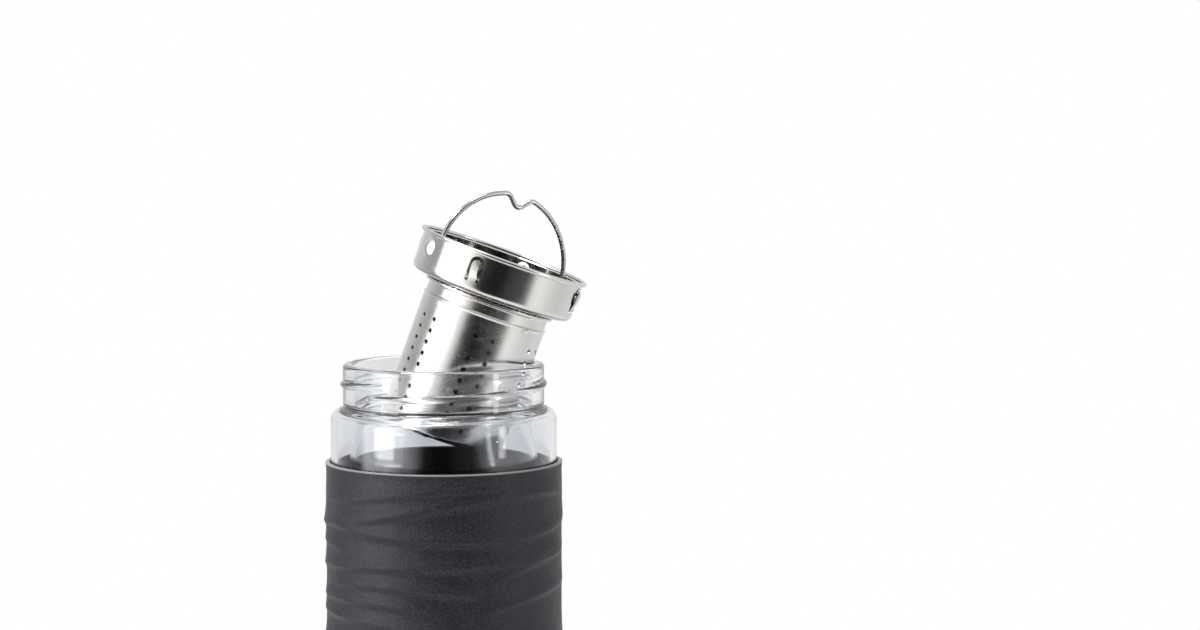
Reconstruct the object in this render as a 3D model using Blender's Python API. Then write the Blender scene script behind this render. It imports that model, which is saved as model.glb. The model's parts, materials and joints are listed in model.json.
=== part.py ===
"""Thermal tea mug: double-walled glass in a silicone sleeve, with a lifted steel tea infuser.

Metres, +Z up. The origin is the middle of the underside, and the glass stands on the Z axis.
The infuser leans out of the neck, as it does when it is lifted by its bail.
"""
from math import atan2, cos, pi, radians, sin, sqrt

import bmesh
import bpy
from mathutils import Matrix, Vector

MM = 0.001

# Whole mug
RIM_HEIGHT = 178 * MM          # lip of the glass above the table
FIT_GAP = 0.3 * MM             # between pieces that touch
CUT_OVERRUN = 1.0 * MM         # every cutter reaches this far past the wall that it cuts
WELD = 0.001 * MM              # doubles closer than this are one corner

# Silicone sleeve
SLEEVE_DROP = 28.8 * MM        # from the lip down to the sleeve's upper edge
SLEEVE_WALL = 1.4 * MM
SLEEVE_FLOOR = 2.0 * MM
SLEEVE_FOOT_ROUND = 1.8 * MM

# Infuser collar
COLLAR_RADIUS = 24.7 * MM
COLLAR_HEIGHT = 12.6 * MM
COLLAR_ROUND = 2.0 * MM        # corner between the band and the floor
STEEL = 0.5 * MM               # sheet of the collar and of the basket
ROLL_RADIUS = 0.65 * MM        # rolled rim
RIM_FLARE = 1.05 * MM          # rolled rim past the band
RIM_BLEND = 0.7 * MM           # band's run into the rolled rim

# Spring tongues of the collar, each in an n-shaped slot
TONGUE_COUNT = 4
TONGUE_TURN = radians(-14.7)   # first tongue, from the front
TONGUE_TOP = 1.8 * MM          # slot's upper end below the rim
SLOT_HEIGHT = 7.7 * MM
SLOT_WIDTH = 1.1 * MM
TONGUE_WIDTH = 2.2 * MM
TONGUE_BEND = 1.0 * MM         # tip stands out from the band

# Bail seats, two domes pressed out of the collar
SEAT_TURN = radians(120.3)     # right seat, from the front; the other is opposite
SEAT_DROP = 4.8 * MM           # seat's middle below the rim
SEAT_RADIUS = 2.8 * MM
SEAT_RISE = 1.2 * MM

# Infuser basket
COLLAR_SHELF = 6.0 * MM        # collar's floor, from the band in to the basket's main wall
BASKET_DEPTH = 56.6 * MM       # from the rim
BASKET_STEP = 0.25 * MM        # the part above the step is narrower by this
STEP_DROP = 17.8 * MM          # from the rim down to the step
STEP_RUN = 0.6 * MM
SEAM_WIDTH = 1.2 * MM          # crimped seam past the upper wall
SEAM_HEIGHT = 1.5 * MM
SEAM_ROLL = 0.6 * MM           # turned-over edge above the collar's floor
BASKET_ROUND = 1.5 * MM
FLOOR_LEDGE = 2.2 * MM         # turned-in lower edge that carries the floor disc
HOLE_RADIUS = 0.72 * MM
HOLE_PITCH = 3.46 * MM
HOLE_ROWS = 9
HOLE_DROP = 24.05 * MM         # from the rim down to the first row
HOLE_TURN = radians(-59.4)     # first column, from the front
HOLE_PAIRS = 6
PAIR_SIDES = 3                 # facets between the two columns of a pair
FLOOR_HOLE_PITCH = 4.3 * MM
FLOOR_HOLE_RINGS = 3

# Bail
WIRE_RADIUS = 0.7 * MM
BAIL_PLAY = 2.1 * MM           # wire to the collar's inside, when folded
BAIL_RISE = 1.1 * MM           # centre of the arch above the pivot
FOOT_BEND = 1.0 * MM
DIP_BEND = 2.0 * MM
DIP_DROP = 3.5 * MM            # from the arch's top down to the dip's bottom
DIP_SLOPE = radians(45)
BAIL_LEAN = radians(-7)

# Glass: the neck takes the infuser's rim, and the ledge below it takes the collar's floor
NECK_PLAY = 0.75 * MM
NECK_WALL = 3.2 * MM
LIP_ROUND = 1.0 * MM
SEAT_CLEARANCE = 0.6 * MM      # seated rim below the lip
LEDGE_LAP = 0.55 * MM          # ledge under the collar's corner
LEDGE_SLOPE = 0.9 * MM
SHOULDER_WIDTH = 3.65 * MM
SHOULDER_ROUND = 3.2 * MM
JACKET_WALL = 1.8 * MM
BASE_WALL = 2.5 * MM
HEEL_ROUND = 5.0 * MM
AIR_GAP = 3.75 * MM
LINER_WALL = 1.4 * MM
WAIST_HEIGHT = 3.6 * MM
FLARE_HEIGHT = 8.5 * MM
LINER_ROUND = 9.0 * MM
BASE_GAP = 4.0 * MM
FLANGE_LAP = 2.6 * MM          # fused edge of the liner past its waist

# Neck thread, two starts
THREAD_STARTS = 2
THREAD_TURN = radians(192)
THREAD_LEAD = 7.0 * MM
THREAD_RISE = 0.8 * MM
THREAD_HALF = 0.8 * MM
THREAD_ROOT = 0.6 * MM         # buried in the neck's wall
CREST_SHARE = 0.45             # ridge's crest, as a share of its foot
THREAD_TOP = 5.0 * MM          # upper end below the lip
THREAD_END = radians(-122)     # upper end of the first ridge, from +X
THREAD_FADE = radians(16)

# Plug of the air gap
PLUG_RADIUS = 2.7 * MM
PLUG_HEAD = 4.2 * MM
PLUG_HEAD_HEIGHT = 1.2 * MM

# Photographed pose
INFUSER_TILT = radians(19.9)
INFUSER_LIFT = 32.2 * MM       # middle of the infuser's rim above the lip

# Facets
GLASS_SIDES = 48
COLLAR_SIDES = 60
BASKET_SIDES = 66
ROLL_STEPS = 3
CORNER_STEPS = 3
SEAT_SIDES = 12
HOLE_SIDES = 6
THREAD_STEPS = 32
FLOOR_SIDES = 48

# Sizes that follow from those above
RIM_RADIUS = COLLAR_RADIUS + RIM_FLARE
NECK_BORE = RIM_RADIUS + NECK_PLAY
NECK_RADIUS = NECK_BORE + NECK_WALL
BODY_RADIUS = NECK_RADIUS + SHOULDER_WIDTH
JACKET_BORE = BODY_RADIUS - JACKET_WALL
LINER_RADIUS = JACKET_BORE - AIR_GAP
LINER_BORE = LINER_RADIUS - LINER_WALL
LEDGE_BORE = COLLAR_RADIUS - LEDGE_LAP
WAIST_RADIUS = LEDGE_BORE + LINER_WALL
GLASS_BASE = SLEEVE_FLOOR + FIT_GAP
BASKET_RADIUS = COLLAR_RADIUS - COLLAR_SHELF
UPPER_RADIUS = BASKET_RADIUS - BASKET_STEP
SHOULDER_TOP = RIM_HEIGHT - COLLAR_HEIGHT - SEAT_CLEARANCE
NECK_FOOT = SHOULDER_TOP - JACKET_WALL
COLLAR_BORE = COLLAR_RADIUS - STEEL
TONGUE_HINGE = -TONGUE_TOP - SLOT_HEIGHT + SLOT_WIDTH / 2


def clear_scene():
    for thing in list(bpy.data.objects):
        bpy.data.objects.remove(thing, do_unlink=True)


def surface(name, colour, roughness, metallic=0.0, transmission=0.0):
    material = bpy.data.materials.new(name)
    material.use_nodes = True
    shader = material.node_tree.nodes["Principled BSDF"]
    shader.inputs["Base Color"].default_value = (*colour, 1.0)
    shader.inputs["Roughness"].default_value = roughness
    shader.inputs["Metallic"].default_value = metallic
    shader.inputs["Transmission Weight"].default_value = transmission
    return material


def empty(name, location=(0, 0, 0), rotation=(0, 0, 0), parent=None):
    thing = bpy.data.objects.new(name, None)
    thing.location = location
    thing.rotation_euler = rotation
    thing.parent = parent
    bpy.context.collection.objects.link(thing)
    return thing


def add_object(name, bm, material=None, parent=None):
    """Turn a bmesh into a named object with smooth round faces."""
    mesh = bpy.data.meshes.new(name)
    bm.to_mesh(mesh)
    bm.free()
    mesh.shade_smooth()
    mesh.set_sharp_from_angle(angle=radians(35))
    if material:
        mesh.materials.append(material)
    thing = bpy.data.objects.new(name, mesh)
    thing.parent = parent
    bpy.context.collection.objects.link(thing)
    return thing


def arc(centre_r, centre_z, radius, first, last, steps=CORNER_STEPS):
    """Points of an arc in the (radius, height) plane, from one angle to another."""
    angles = [first + (last - first) * i / steps for i in range(steps + 1)]
    return [(centre_r + radius * cos(a), centre_z + radius * sin(a)) for a in angles]


def turned(outline, sides, first_angle=0.0, closed=True):
    """Turn an outline of (radius, height) points round Z. An open one begins and ends on the axis."""
    bm = bmesh.new()
    corners = [bm.verts.new((r * cos(first_angle), r * sin(first_angle), z)) for r, z in outline]
    following = corners[1:] + corners[:1] if closed else corners[1:]
    for one, other in zip(corners, following):
        bm.edges.new((one, other))
    bmesh.ops.spin(bm, geom=bm.verts[:] + bm.edges[:], cent=(0, 0, 0), axis=(0, 0, 1),
                   angle=2 * pi, steps=sides, use_merge=True)
    bmesh.ops.remove_doubles(bm, verts=bm.verts, dist=WELD)
    bmesh.ops.recalc_face_normals(bm, faces=bm.faces)
    return bm


def facing(turn):
    """Angle from +X of a direction that is given from the front, towards the right."""
    return turn - pi / 2


def radial_frame(turn, radius, height):
    """Matrix whose +Z points out of the ring at this turn, with +Y up."""
    return (Matrix.Rotation(facing(turn), 4, "Z") @ Matrix.Translation((radius, 0, height))
            @ Matrix.Rotation(pi / 2, 4, "Y") @ Matrix.Rotation(pi / 2, 4, "Z"))


def combine(target, tool_bm, operation):
    """Cut a tool from an object, or join it on, with a Boolean that is applied."""
    tool = add_object("tool", tool_bm)
    tool.parent = target.parent
    boolean = target.modifiers.new("boolean", "BOOLEAN")
    boolean.operation = operation
    boolean.solver = "EXACT"
    boolean.object = tool
    bpy.context.view_layer.update()
    view = bpy.context.evaluated_depsgraph_get()
    mesh = bpy.data.meshes.new_from_object(target.evaluated_get(view))
    target.modifiers.clear()
    target.data = mesh
    bpy.data.objects.remove(tool, do_unlink=True)


# Sleeve


def sleeve_outline():
    outer = BODY_RADIUS + FIT_GAP + SLEEVE_WALL
    inner = outer - SLEEVE_WALL
    top = RIM_HEIGHT - SLEEVE_DROP
    edge = SLEEVE_WALL / 2
    heel_bend = HEEL_ROUND + FIT_GAP
    points = [(0, 0)]
    points += arc(outer - SLEEVE_FOOT_ROUND, SLEEVE_FOOT_ROUND, SLEEVE_FOOT_ROUND, -pi / 2, 0)
    points += arc(outer - edge, top - edge, edge, 0, pi, 2 * CORNER_STEPS)
    points += arc(inner - heel_bend, SLEEVE_FLOOR + heel_bend, heel_bend, 0, -pi / 2)
    points += [(0, SLEEVE_FLOOR)]
    return points


def make_sleeve():
    rubber = surface("charcoal_silicone", (0.045, 0.046, 0.052), 0.62)
    return add_object("silicone_sleeve", turned(sleeve_outline(), GLASS_SIDES, closed=False), rubber)


# Glass


def jacket_outline():
    """Neck, shoulder, body and base of the outer glass, from the base's hole round to it again."""
    hole = PLUG_RADIUS + FIT_GAP
    base_top = GLASS_BASE + BASE_WALL
    heel_bore = max(HEEL_ROUND - JACKET_WALL, FIT_GAP)
    shoulder_z = SHOULDER_TOP - SHOULDER_ROUND
    shoulder_r = BODY_RADIUS - SHOULDER_ROUND
    inner_round = SHOULDER_ROUND - JACKET_WALL
    points = [(hole, GLASS_BASE)]
    points += arc(BODY_RADIUS - HEEL_ROUND, GLASS_BASE + HEEL_ROUND, HEEL_ROUND, -pi / 2, 0)
    points += arc(shoulder_r, shoulder_z, SHOULDER_ROUND, 0, pi / 2)
    points += [(NECK_RADIUS, SHOULDER_TOP)]
    points += arc(NECK_RADIUS - LIP_ROUND, RIM_HEIGHT - LIP_ROUND, LIP_ROUND, 0, pi / 2)
    points += arc(NECK_BORE + LIP_ROUND, RIM_HEIGHT - LIP_ROUND, LIP_ROUND, pi / 2, pi)
    points += [(NECK_BORE, SHOULDER_TOP + LEDGE_SLOPE), (LEDGE_BORE, SHOULDER_TOP)]
    points += [(LEDGE_BORE, NECK_FOOT)]
    points += arc(shoulder_r, shoulder_z, inner_round, pi / 2, 0)
    points += arc(JACKET_BORE - heel_bore, base_top + heel_bore, heel_bore, 0, -pi / 2)
    points += [(hole, base_top)]
    return points


def thread_ridge(start_angle):
    """One ridge: its section spun up along the helix, thinned away at both ends."""
    bm = bmesh.new()
    inside = NECK_RADIUS - THREAD_ROOT
    outside = NECK_RADIUS + THREAD_RISE
    section = [(inside, -THREAD_HALF), (outside, -THREAD_HALF * CREST_SHARE),
               (outside, THREAD_HALF * CREST_SHARE), (inside, THREAD_HALF)]
    climb = THREAD_LEAD * THREAD_TURN / (2 * pi)
    foot = RIM_HEIGHT - THREAD_TOP - climb
    corners = [bm.verts.new((r * cos(start_angle), r * sin(start_angle), foot + z)) for r, z in section]
    for one, other in zip(corners, corners[1:] + corners[:1]):
        bm.edges.new((one, other))
    bmesh.ops.spin(bm, geom=bm.verts[:] + bm.edges[:], cent=(0, 0, 0), axis=(0, 0, 1),
                   dvec=(0, 0, climb / THREAD_STEPS), angle=THREAD_TURN, steps=THREAD_STEPS)
    bmesh.ops.holes_fill(bm, edges=bm.edges[:], sides=len(section))
    bmesh.ops.recalc_face_normals(bm, faces=bm.faces)
    slack = pi - THREAD_TURN / 2
    for vert in bm.verts:
        turn = (atan2(vert.co.y, vert.co.x) - start_angle + slack) % (2 * pi) - slack
        fade = max(0.0, min(1.0, turn / THREAD_FADE, (THREAD_TURN - turn) / THREAD_FADE))
        radius = vert.co.xy.length
        if radius > NECK_RADIUS:
            buried = NECK_RADIUS - THREAD_ROOT / 2
            vert.co.xy *= (buried + (radius - buried) * fade) / radius
    return bm


def make_outer_glass(parent, glass):
    jacket = add_object("outer_glass", turned(jacket_outline(), GLASS_SIDES), glass, parent)
    for start in range(THREAD_STARTS):
        lower_end = THREAD_END - THREAD_TURN + 2 * pi * start / THREAD_STARTS
        combine(jacket, thread_ridge(lower_end), "UNION")
    return jacket


def liner_outline():
    """Liner: fused flange, waist, flare, straight wall and round bottom, then back up outside."""
    top = NECK_FOOT - FIT_GAP
    waist_foot = top - WAIST_HEIGHT
    flare_foot = waist_foot - FLARE_HEIGHT
    bottom = GLASS_BASE + BASE_WALL + BASE_GAP
    flange = WAIST_RADIUS + FLANGE_LAP
    inner_round = LINER_ROUND - LINER_WALL
    points = [(0, bottom)]
    points += arc(LINER_RADIUS - LINER_ROUND, bottom + LINER_ROUND, LINER_ROUND, -pi / 2, 0)
    points += [(LINER_RADIUS, flare_foot), (WAIST_RADIUS, waist_foot), (WAIST_RADIUS, top - LINER_WALL)]
    points += [(flange, top - LINER_WALL), (flange, top), (LEDGE_BORE, top), (LEDGE_BORE, waist_foot)]
    points += [(LINER_BORE, flare_foot)]
    points += arc(LINER_BORE - inner_round, bottom + LINER_ROUND, inner_round, 0, -pi / 2)
    points += [(0, bottom + LINER_WALL)]
    return points


def make_inner_glass(parent, glass):
    return add_object("inner_glass", turned(liner_outline(), GLASS_SIDES, closed=False), glass, parent)


def make_gap_seal(parent):
    rubber = surface("clear_plug", (0.75, 0.77, 0.78), 0.35)
    head_foot = GLASS_BASE + BASE_WALL + FIT_GAP
    outline = [(0, GLASS_BASE), (PLUG_RADIUS, GLASS_BASE), (PLUG_RADIUS, head_foot),
               (PLUG_HEAD, head_foot), (PLUG_HEAD, head_foot + PLUG_HEAD_HEIGHT),
               (0, head_foot + PLUG_HEAD_HEIGHT)]
    return add_object("gap_seal", turned(outline, SEAT_SIDES, closed=False), rubber, parent)


# Infuser collar. Heights are below the middle of its rim, which is the infuser's origin.


def collar_outline():
    roll_r = RIM_RADIUS - ROLL_RADIUS
    band_top = -2 * ROLL_RADIUS - RIM_BLEND
    corner_z = -COLLAR_HEIGHT + COLLAR_ROUND
    bend_r = COLLAR_RADIUS - COLLAR_ROUND
    hole = UPPER_RADIUS + FIT_GAP
    points = arc(roll_r, -ROLL_RADIUS, ROLL_RADIUS, pi, -pi / 3, ROLL_STEPS + 1)
    points += [(COLLAR_RADIUS, band_top), (COLLAR_RADIUS, TONGUE_HINGE)]
    points += arc(bend_r, corner_z, COLLAR_ROUND, 0, -pi / 2)
    points += [(hole, -COLLAR_HEIGHT), (hole, -COLLAR_HEIGHT + STEEL)]
    points += arc(bend_r, corner_z, COLLAR_ROUND - STEEL, -pi / 2, 0)
    points += [(COLLAR_BORE, TONGUE_HINGE), (COLLAR_BORE, -2 * ROLL_RADIUS)]
    return points


def slot_tool(turn):
    """Tool for one n-shaped slot: its outline stands in the band and is extruded outwards."""
    bm = bmesh.new()
    outer = TONGUE_WIDTH / 2 + SLOT_WIDTH
    inner = TONGUE_WIDTH / 2
    foot = -SLOT_HEIGHT
    outline = [(outer, foot)] + arc(0, -outer, outer, 0, pi, 2 * CORNER_STEPS) + [(-outer, foot)]
    outline += [(-inner, foot)] + arc(0, -outer, inner, pi, 0, 2 * CORNER_STEPS) + [(inner, foot)]
    face = bm.faces.new([bm.verts.new((x, y, 0)) for x, y in outline])
    raised = bmesh.ops.extrude_face_region(bm, geom=[face])["geom"]
    depth = STEEL + 2 * CUT_OVERRUN
    bmesh.ops.translate(bm, verts=[v for v in raised if isinstance(v, bmesh.types.BMVert)], vec=(0, 0, depth))
    bmesh.ops.recalc_face_normals(bm, faces=bm.faces)
    bm.transform(radial_frame(turn, COLLAR_BORE - CUT_OVERRUN, -TONGUE_TOP))
    return bm


def bend_tongues(collar):
    """Lean each tongue out of its slot, hinged a little above the slot's lower end."""
    middle = (TONGUE_WIDTH + SLOT_WIDTH) / 2
    arch_z = -TONGUE_TOP - SLOT_WIDTH - TONGUE_WIDTH / 2
    tip_z = -TONGUE_TOP - SLOT_WIDTH
    spacing = 2 * pi / TONGUE_COUNT
    for vert in collar.data.vertices:
        turn = atan2(vert.co.y, vert.co.x) - facing(TONGUE_TURN)
        radius = vert.co.xy.length
        across = ((turn + spacing / 2) % spacing - spacing / 2) * radius
        in_arch = vert.co.z < arch_z or sqrt(across ** 2 + (vert.co.z - arch_z) ** 2) < middle
        if abs(across) < middle and in_arch and vert.co.z > TONGUE_HINGE:
            share = (vert.co.z - TONGUE_HINGE) / (tip_z - TONGUE_HINGE)
            vert.co.xy *= (radius + TONGUE_BEND * share) / radius


def seat_dome(turn):
    """Solid cap that swells out of the band, with its flat back in the middle of the sheet."""
    middle = COLLAR_RADIUS - STEEL / 2
    rise = SEAT_RISE + STEEL / 2
    angles = [pi / 2 * i / CORNER_STEPS for i in range(CORNER_STEPS + 1)]
    outline = [(0, 0)] + [(SEAT_RADIUS * cos(a), rise * sin(a)) for a in angles]
    outline[-1] = (0, rise)
    bm = turned(outline, SEAT_SIDES, closed=False)
    bm.transform(radial_frame(turn, middle, -SEAT_DROP))
    return bm


def seat_pocket(turn):
    """The dome's hollow, open to the inside of the collar."""
    middle = COLLAR_RADIUS - STEEL / 2
    radius = SEAT_RADIUS - STEEL
    rise = SEAT_RISE - STEEL / 2
    angles = [pi / 2 * i / CORNER_STEPS for i in range(CORNER_STEPS + 1)]
    back = -STEEL / 2 - CUT_OVERRUN
    outline = [(0, back), (radius, back)] + [(radius * cos(a), rise * sin(a)) for a in angles]
    outline[-1] = (0, rise)
    bm = turned(outline, SEAT_SIDES, closed=False)
    bm.transform(radial_frame(turn, middle, -SEAT_DROP))
    return bm


def make_collar(parent, steel):
    half_side = pi / COLLAR_SIDES
    ring = turned(collar_outline(), COLLAR_SIDES, facing(TONGUE_TURN) - half_side)
    collar = add_object("infuser_collar", ring, steel, parent)
    for i in range(TONGUE_COUNT):
        combine(collar, slot_tool(TONGUE_TURN + 2 * pi * i / TONGUE_COUNT), "DIFFERENCE")
    bend_tongues(collar)
    for turn in (SEAT_TURN, SEAT_TURN + pi):
        combine(collar, seat_dome(turn), "UNION")
        combine(collar, seat_pocket(turn), "DIFFERENCE")
    return collar


# Infuser basket


def basket_outline():
    """Crimped seam round the collar's floor, upper wall, step, main wall and turned-in edge."""
    floor_top = -COLLAR_HEIGHT + STEEL
    roll_foot = floor_top + FIT_GAP
    seam_top = -COLLAR_HEIGHT - FIT_GAP
    seam = UPPER_RADIUS + SEAM_WIDTH
    bore = UPPER_RADIUS - STEEL
    main_bore = BASKET_RADIUS - STEEL
    bend = BASKET_ROUND
    corner_z = -BASKET_DEPTH + bend
    points = [(bore, roll_foot + SEAM_ROLL), (seam, roll_foot + SEAM_ROLL), (seam, roll_foot)]
    points += [(UPPER_RADIUS, roll_foot), (UPPER_RADIUS, seam_top), (seam, seam_top)]
    points += [(seam, seam_top - SEAM_HEIGHT / 2), (UPPER_RADIUS, seam_top - SEAM_HEIGHT)]
    points += [(UPPER_RADIUS, -STEP_DROP), (BASKET_RADIUS, -STEP_DROP - STEP_RUN)]
    points += arc(BASKET_RADIUS - bend, corner_z, bend, 0, -pi / 2)
    points += [(main_bore - FLOOR_LEDGE, -BASKET_DEPTH), (main_bore - FLOOR_LEDGE, -BASKET_DEPTH + STEEL)]
    points += arc(BASKET_RADIUS - bend, corner_z, bend - STEEL, -pi / 2, 0)
    points += [(main_bore, -STEP_DROP - STEP_RUN), (bore, -STEP_DROP)]
    return points


def hole_rods(places, radius, depth):
    """One mesh of separate rods, each at its own frame."""
    bm = bmesh.new()
    for place in places:
        bmesh.ops.create_cone(bm, cap_ends=True, segments=HOLE_SIDES, radius1=radius, radius2=radius,
                              depth=depth, matrix=place)
    return bm


def make_basket(parent, steel):
    side = 2 * pi / BASKET_SIDES
    ring = turned(basket_outline(), BASKET_SIDES, facing(HOLE_TURN) - side / 2)
    basket = add_object("infuser_basket", ring, steel, parent)
    columns = [HOLE_TURN + 2 * pi * pair / HOLE_PAIRS + offset
               for pair in range(HOLE_PAIRS) for offset in (0, PAIR_SIDES * side)]
    wall_middle = BASKET_RADIUS - STEEL / 2
    places = [radial_frame(column, wall_middle, -HOLE_DROP - HOLE_PITCH * row)
              for column in columns for row in range(HOLE_ROWS)]
    combine(basket, hole_rods(places, HOLE_RADIUS, STEEL + 2 * CUT_OVERRUN), "DIFFERENCE")
    return basket


def make_basket_floor(parent, steel):
    foot = -BASKET_DEPTH + STEEL + FIT_GAP
    radius = BASKET_RADIUS - max(BASKET_ROUND, STEEL) - FIT_GAP
    outline = [(0, foot), (radius, foot), (radius, foot + STEEL), (0, foot + STEEL)]
    disc = add_object("basket_floor", turned(outline, FLOOR_SIDES, closed=False), steel, parent)
    places = []
    for ring in range(1, FLOOR_HOLE_RINGS + 1):
        count = HOLE_PAIRS * ring
        for i in range(count):
            turn = Matrix.Rotation(2 * pi * (i + 0.5) / count, 4, "Z")
            places.append(turn @ Matrix.Translation((FLOOR_HOLE_PITCH * ring, 0, foot + STEEL / 2)))
    combine(disc, hole_rods(places, HOLE_RADIUS, STEEL + 2 * CUT_OVERRUN), "DIFFERENCE")
    return disc


# Bail


def bail_half():
    """Route of the right half, from the foot's tip in its seat up to the middle of the dip."""
    arch = COLLAR_BORE - BAIL_PLAY - WIRE_RADIUS
    pocket_end = COLLAR_RADIUS + SEAT_RISE - STEEL
    tip = pocket_end - FIT_GAP - STEEL / 4
    crest = DIP_BEND
    dip_z = BAIL_RISE + arch - DIP_DROP + DIP_BEND
    reach = arch - crest
    line_x = DIP_BEND * sin(DIP_SLOPE) + crest * sin(DIP_SLOPE)
    line_z = dip_z - DIP_BEND * cos(DIP_SLOPE) - crest * cos(DIP_SLOPE) - BAIL_RISE
    along = line_x * cos(DIP_SLOPE) + line_z * sin(DIP_SLOPE)
    flank = sqrt(along ** 2 + reach ** 2 - line_x ** 2 - line_z ** 2) - along
    crest_x = line_x + flank * cos(DIP_SLOPE)
    crest_z = line_z + flank * sin(DIP_SLOPE)
    touch = atan2(crest_z, crest_x)
    points = [(tip, 0), ((tip + arch + FOOT_BEND) / 2, 0)]
    points += arc(arch + FOOT_BEND, FOOT_BEND, FOOT_BEND, -pi / 2, -pi, 4)
    points += arc(0, BAIL_RISE, arch, 0, touch, 12)[1:]
    points += arc(crest_x, crest_z + BAIL_RISE, crest, touch, pi / 2 + DIP_SLOPE, 5)[1:]
    points += arc(0, dip_z, DIP_BEND, -pi / 2 + DIP_SLOPE, -pi / 2, 3)
    return points


def make_bail(parent, steel):
    half = bail_half()
    route = half + [(-x, z) for x, z in reversed(half[:-1])]
    curve = bpy.data.curves.new("bail_handle", "CURVE")
    curve.dimensions = "3D"
    curve.bevel_depth = WIRE_RADIUS
    curve.bevel_resolution = 2
    curve.use_fill_caps = True
    spline = curve.splines.new("POLY")
    spline.points.add(len(route) - 1)
    for point, (x, z) in zip(spline.points, route):
        point.co = (x, 0, z, 1)
    curve.materials.append(steel)
    bail = bpy.data.objects.new("bail_handle", curve)
    bail.parent = parent
    bpy.context.collection.objects.link(bail)
    return bail


# Assembly


def infuser_place():
    """Middle of the rim, with the basket leaning on the round of the lip on the right."""
    lip_r = NECK_BORE + LIP_ROUND
    height = INFUSER_LIFT + LIP_ROUND
    reach = BASKET_RADIUS + LIP_ROUND + FIT_GAP
    lean = (height * sin(INFUSER_TILT) - reach) / cos(INFUSER_TILT)
    return Vector((lip_r + lean, 0, RIM_HEIGHT + INFUSER_LIFT))


def build_mug():
    clear_scene()
    make_sleeve()
    clear_glass = surface("clear_glass", (0.92, 0.95, 0.97), 0.02, transmission=1.0)
    glass_axis = empty("glass_axis")
    make_outer_glass(glass_axis, clear_glass)
    make_inner_glass(glass_axis, clear_glass)
    make_gap_seal(glass_axis)
    brushed = surface("brushed_steel", (0.62, 0.62, 0.63), 0.28, metallic=1.0)
    bright = surface("bright_steel", (0.66, 0.66, 0.67), 0.16, metallic=1.0)
    infuser_axis = empty("infuser_axis", infuser_place(), (0, INFUSER_TILT, 0), glass_axis)
    make_collar(infuser_axis, brushed)
    make_basket(infuser_axis, brushed)
    make_basket_floor(infuser_axis, brushed)
    pivot = empty("bail_pivot", (0, 0, -SEAT_DROP), (0, 0, facing(SEAT_TURN)), infuser_axis)
    lean = empty("bail_lean", rotation=(BAIL_LEAN, 0, 0), parent=pivot)
    make_bail(lean, bright)


build_mug()
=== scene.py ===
# %% [markdown]
# # A thermal tea mug with its infuser lifted out
# The mug has two glass walls that are fused at the neck, a silicone sleeve pulled up over the outer wall, and
# a steel infuser that is lifted by its wire bail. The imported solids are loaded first, as a fixed frame. Each
# piece made below stands for one or two of them, keeps their sizes, and moves with the same body.

# %% Load the frame
import json
import random
from math import atan2, cos, pi, radians, sin, sqrt, tan

import bmesh
import bpy
import numpy as np
from mathutils import Matrix, Vector


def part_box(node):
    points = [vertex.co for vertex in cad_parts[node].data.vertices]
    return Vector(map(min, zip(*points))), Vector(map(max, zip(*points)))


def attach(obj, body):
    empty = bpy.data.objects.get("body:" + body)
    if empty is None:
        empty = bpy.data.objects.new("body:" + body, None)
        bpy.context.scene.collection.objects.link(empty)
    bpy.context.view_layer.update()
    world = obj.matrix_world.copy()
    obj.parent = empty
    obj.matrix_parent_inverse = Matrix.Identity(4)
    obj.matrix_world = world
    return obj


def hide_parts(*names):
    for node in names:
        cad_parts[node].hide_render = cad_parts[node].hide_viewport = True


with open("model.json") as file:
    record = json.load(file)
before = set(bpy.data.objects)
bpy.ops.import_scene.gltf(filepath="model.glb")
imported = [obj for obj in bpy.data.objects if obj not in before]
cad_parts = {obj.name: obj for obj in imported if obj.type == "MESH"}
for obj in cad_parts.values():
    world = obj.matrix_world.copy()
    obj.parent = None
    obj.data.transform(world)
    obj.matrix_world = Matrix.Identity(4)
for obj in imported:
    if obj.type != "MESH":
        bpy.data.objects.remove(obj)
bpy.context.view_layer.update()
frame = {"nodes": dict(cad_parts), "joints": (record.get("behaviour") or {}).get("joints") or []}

MM = 0.001

# %% [markdown]
# ## Sizes that the frame gives
# The height and radius of the glass and of the sleeve are read from the solids' boxes. The infuser hangs
# tilted, so its own frame is read from the joints: the lift slides along its axis, and the bail turns on a
# line through its two seats.

# %% Read sizes and places
FIT_GAP = 0.3 * MM
SEAT_DROP = 4.8 * MM           # bail seats below the infuser's rim
SLEEVE_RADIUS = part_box("silicone_sleeve")[1].x
SLEEVE_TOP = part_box("silicone_sleeve")[1].z
GLASS_BASE, RIM_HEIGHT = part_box("outer_glass")[0].z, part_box("outer_glass")[1].z
BODY_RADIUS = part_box("outer_glass")[1].x
LINER_BASE, LINER_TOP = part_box("inner_glass")[0].z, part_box("inner_glass")[1].z

joints = {joint["name"]: joint for joint in frame["joints"]}
infuser_up = Vector(joints["infuser_lift"]["axis"])
rim_middle = Vector(joints["bail_swing"]["pos_m"]) + infuser_up * SEAT_DROP
INFUSER_TILT = atan2(infuser_up.x, infuser_up.z)
infuser_frame = Matrix.Translation(rim_middle) @ Matrix.Rotation(INFUSER_TILT, 4, "Y")
print(f"lip at {RIM_HEIGHT / MM:.1f} mm, infuser tilted {np.degrees(INFUSER_TILT):.1f} degrees")

# %% [markdown]
# ## Helpers for turned pieces
# The sleeve, the glass and most of the infuser are turned or blown round an axis. Their outline is given as a
# few corners, each with its own round. `rounded` turns the corners into arcs, and `lathe` spins the outline.
# A curve with a Screw modifier would do as well, but the spin leaves a plain mesh that can be shaped further.

# %% Outline and lathe
WELD = 0.002 * MM
SECTORS = 12                   # every number of sides is a multiple of this


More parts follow.
